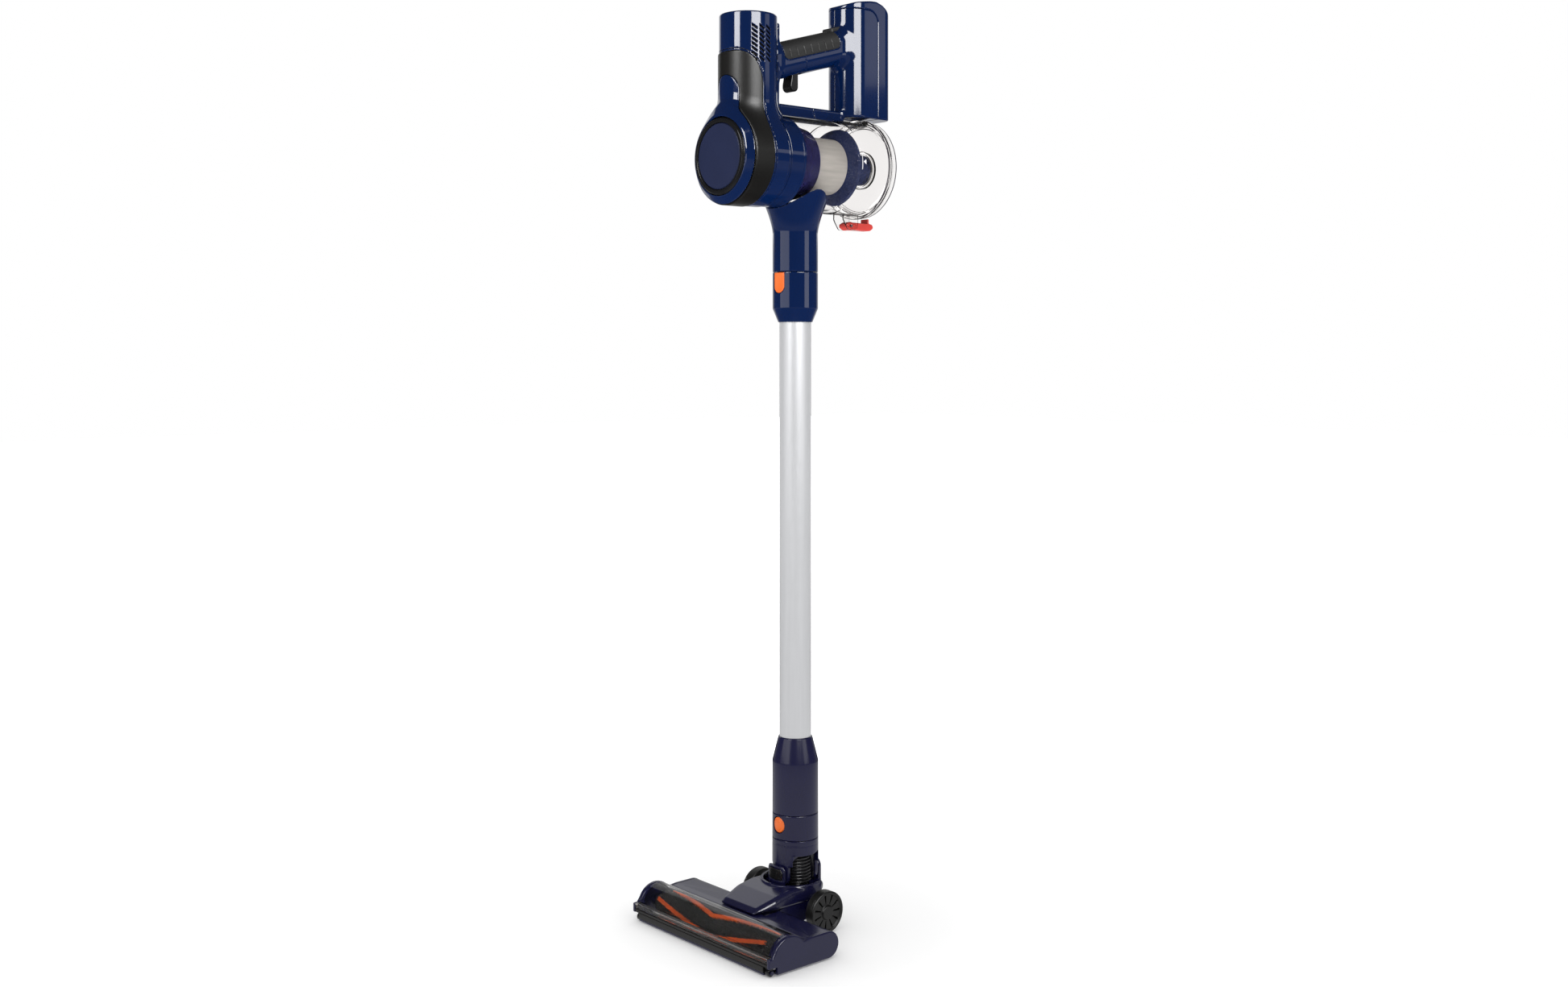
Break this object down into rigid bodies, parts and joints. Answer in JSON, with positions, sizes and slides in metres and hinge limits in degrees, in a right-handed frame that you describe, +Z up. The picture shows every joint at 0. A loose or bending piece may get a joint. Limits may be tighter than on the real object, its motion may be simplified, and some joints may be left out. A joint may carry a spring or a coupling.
{
  "type": "cordless stick vacuum",
  "caption": "Upright cordless stick vacuum: hand unit with motor column, clear dust bin and battery, aluminium wand, swivelling neck and wide powered brush head.",
  "frame": {"origin": "On the floor, under the wand's axis, at the centre of the object's box seen from above.", "axes": "+Z up along the wand, -Y towards the front of the floor head, +X to the right of a person facing +Y."},
  "size_m": [0.25, 0.2845, 1.106],
  "materials": {
    "navy_gloss": "gloss",
    "head_navy": "satin",
    "cap_navy": "satin",
    "black_plastic": "satin",
    "black_rubber": "matte",
    "wheel_rubber": "matte",
    "clear_plastic": "gloss",
    "red_plastic": "gloss",
    "orange_plastic": "satin",
    "orange_bristle": "matte",
    "brush_fibre": "matte",
    "mesh_steel": "satin",
    "slate_plastic": "satin",
    "base_plastic": "gloss",
    "tube_aluminium": "satin",
    "steel": "satin",
    "motor_metal": "satin",
    "filter_paper": "matte",
    "foam": "matte",
    "board_green": "satin",
    "cell_wrap": "satin"
  },
  "bodies": {
    "head": {"head_base": "head_navy", "head_deck": "head_navy", "neck_cover": "head_navy", "end_caps": "head_navy", "brush_window": "clear_plastic", "front_strip": "black_plastic", "head_pins": "steel", "brush_motor": "steel", "belt": "black_rubber"},
    "brush": {"brush_core": "brush_fibre", "brush_strips": "orange_bristle"},
    "wheel_left": {"wheel_left": "wheel_rubber"},
    "wheel_right": {"wheel_right": "wheel_rubber"},
    "rollers": {"rollers": "black_plastic"},
    "yoke": {"yoke": "head_navy", "yoke_pad": "black_rubber"},
    "stick": {"elbow": "head_navy", "foot_collar": "head_navy", "foot_socket": "head_navy", "wand_tube": "tube_aluminium", "wand_socket": "navy_gloss", "wand_lead": "black_rubber", "inlet_neck": "navy_gloss", "hose": "black_rubber", "motor_housing": "navy_gloss", "accent_band": "black_plastic", "front_bezel": "navy_gloss", "pleated_filter": "filter_paper", "motor_can": "motor_metal", "motor_mounts": "black_rubber", "exhaust_foam": "foam", "control_board": "board_green", "handle_left": "navy_gloss", "handle_right": "navy_gloss", "handle_screws": "steel", "grip_pad": "black_rubber", "trigger_pin": "steel", "trigger_spring": "steel", "trigger_switch": "black_plastic", "bin_collar": "navy_gloss", "dust_bin": "clear_plastic", "bin_seals": "black_rubber", "bin_pins": "steel", "mesh_filter": "mesh_steel", "cyclone_base": "base_plastic", "shroud_skirt": "slate_plastic", "inner_cup": "slate_plastic"},
    "filter_cap": {"cap_ring": "black_plastic", "cap_disc": "cap_navy"},
    "suction_rotor": {"impeller": "motor_metal", "motor_rotor": "steel"},
    "trigger": {"trigger": "black_plastic"},
    "battery": {"battery_case": "navy_gloss", "battery_cells": "cell_wrap", "charge_socket": "black_plastic"},
    "battery_button": {"battery_button": "black_plastic"},
    "bin_door": {"bin_door": "clear_plastic"},
    "door_latch": {"door_latch": "red_plastic"},
    "wand_button": {"wand_button": "orange_plastic"},
    "foot_button": {"foot_button": "orange_plastic"}
  },
  "joints": [
    {"name": "brush_spin", "type": "hinge", "parent": "head", "child": "brush", "pos_m": [0, -0.117, 0.0185], "axis": [1, 0, 0], "continuous": true},
    {"name": "wheel_left_spin", "type": "hinge", "parent": "head", "child": "wheel_left", "pos_m": [-0.057, -0.0056, 0.0244], "axis": [1, 0, 0], "continuous": true},
    {"name": "wheel_right_spin", "type": "hinge", "parent": "head", "child": "wheel_right", "pos_m": [0.057, -0.0056, 0.0244], "axis": [1, 0, 0], "continuous": true},
    {"name": "rollers_spin", "type": "hinge", "parent": "head", "child": "rollers", "pos_m": [0, -0.141, 0.0045], "axis": [1, 0, 0], "continuous": true},
    {"name": "recline", "type": "hinge", "parent": "head", "child": "yoke", "pos_m": [0, 0, 0.036], "axis": [-1, 0, 0], "range_deg": [0, 75]},
    {"name": "swivel", "type": "hinge", "parent": "yoke", "child": "stick", "pos_m": [0, 0, 0.058], "axis": [0, 1, 0], "range_deg": [-35, 35], "deforming": ["hose"]},
    {"name": "filter_cap_twist", "type": "hinge", "parent": "stick", "child": "filter_cap", "pos_m": [0, -0.114, 0.901], "axis": [0, 1, 0], "range_deg": [0, 30]},
    {"name": "suction_rotor_spin", "type": "hinge", "parent": "stick", "child": "suction_rotor", "pos_m": [0, -0.0732, 1], "axis": [0, 0, 1], "continuous": true},
    {"name": "trigger_pull", "type": "hinge", "parent": "stick", "child": "trigger", "pos_m": [0, -0.009, 1.028], "axis": [1, 0, 0], "range_deg": [0, 8], "stiffness_Nm_per_rad": 0.5, "springref_deg": -5.73, "deforming": ["trigger_spring"]},
    {"name": "battery_slide", "type": "slide", "parent": "stick", "child": "battery", "axis": [0, 0, 1], "range_m": [0, 0.145]},
    {"name": "battery_button_press", "type": "slide", "parent": "battery", "child": "battery_button", "axis": [0, -1, 0], "range_m": [0, 0.002], "stiffness_N_per_m": 300, "springref_m": -0.002},
    {"name": "bin_door_hinge", "type": "hinge", "parent": "stick", "child": "bin_door", "pos_m": [0, 0.1085, 0.957], "axis": [1, 0, 0], "range_deg": [0, 75]},
    {"name": "door_latch_press", "type": "hinge", "parent": "stick", "child": "door_latch", "pos_m": [0, 0.084, 0.831], "axis": [-1, 0, 0], "range_deg": [0, 8], "stiffness_Nm_per_rad": 0.1, "springref_deg": -5.73},
    {"name": "wand_button_press", "type": "slide", "parent": "stick", "child": "wand_button", "axis": [0, 1, 0], "range_m": [0, 0.002], "stiffness_N_per_m": 300, "springref_m": -0.002},
    {"name": "foot_button_press", "type": "slide", "parent": "stick", "child": "foot_button", "axis": [0, 1, 0], "range_m": [0, 0.002], "stiffness_N_per_m": 300, "springref_m": -0.002}
  ]
}
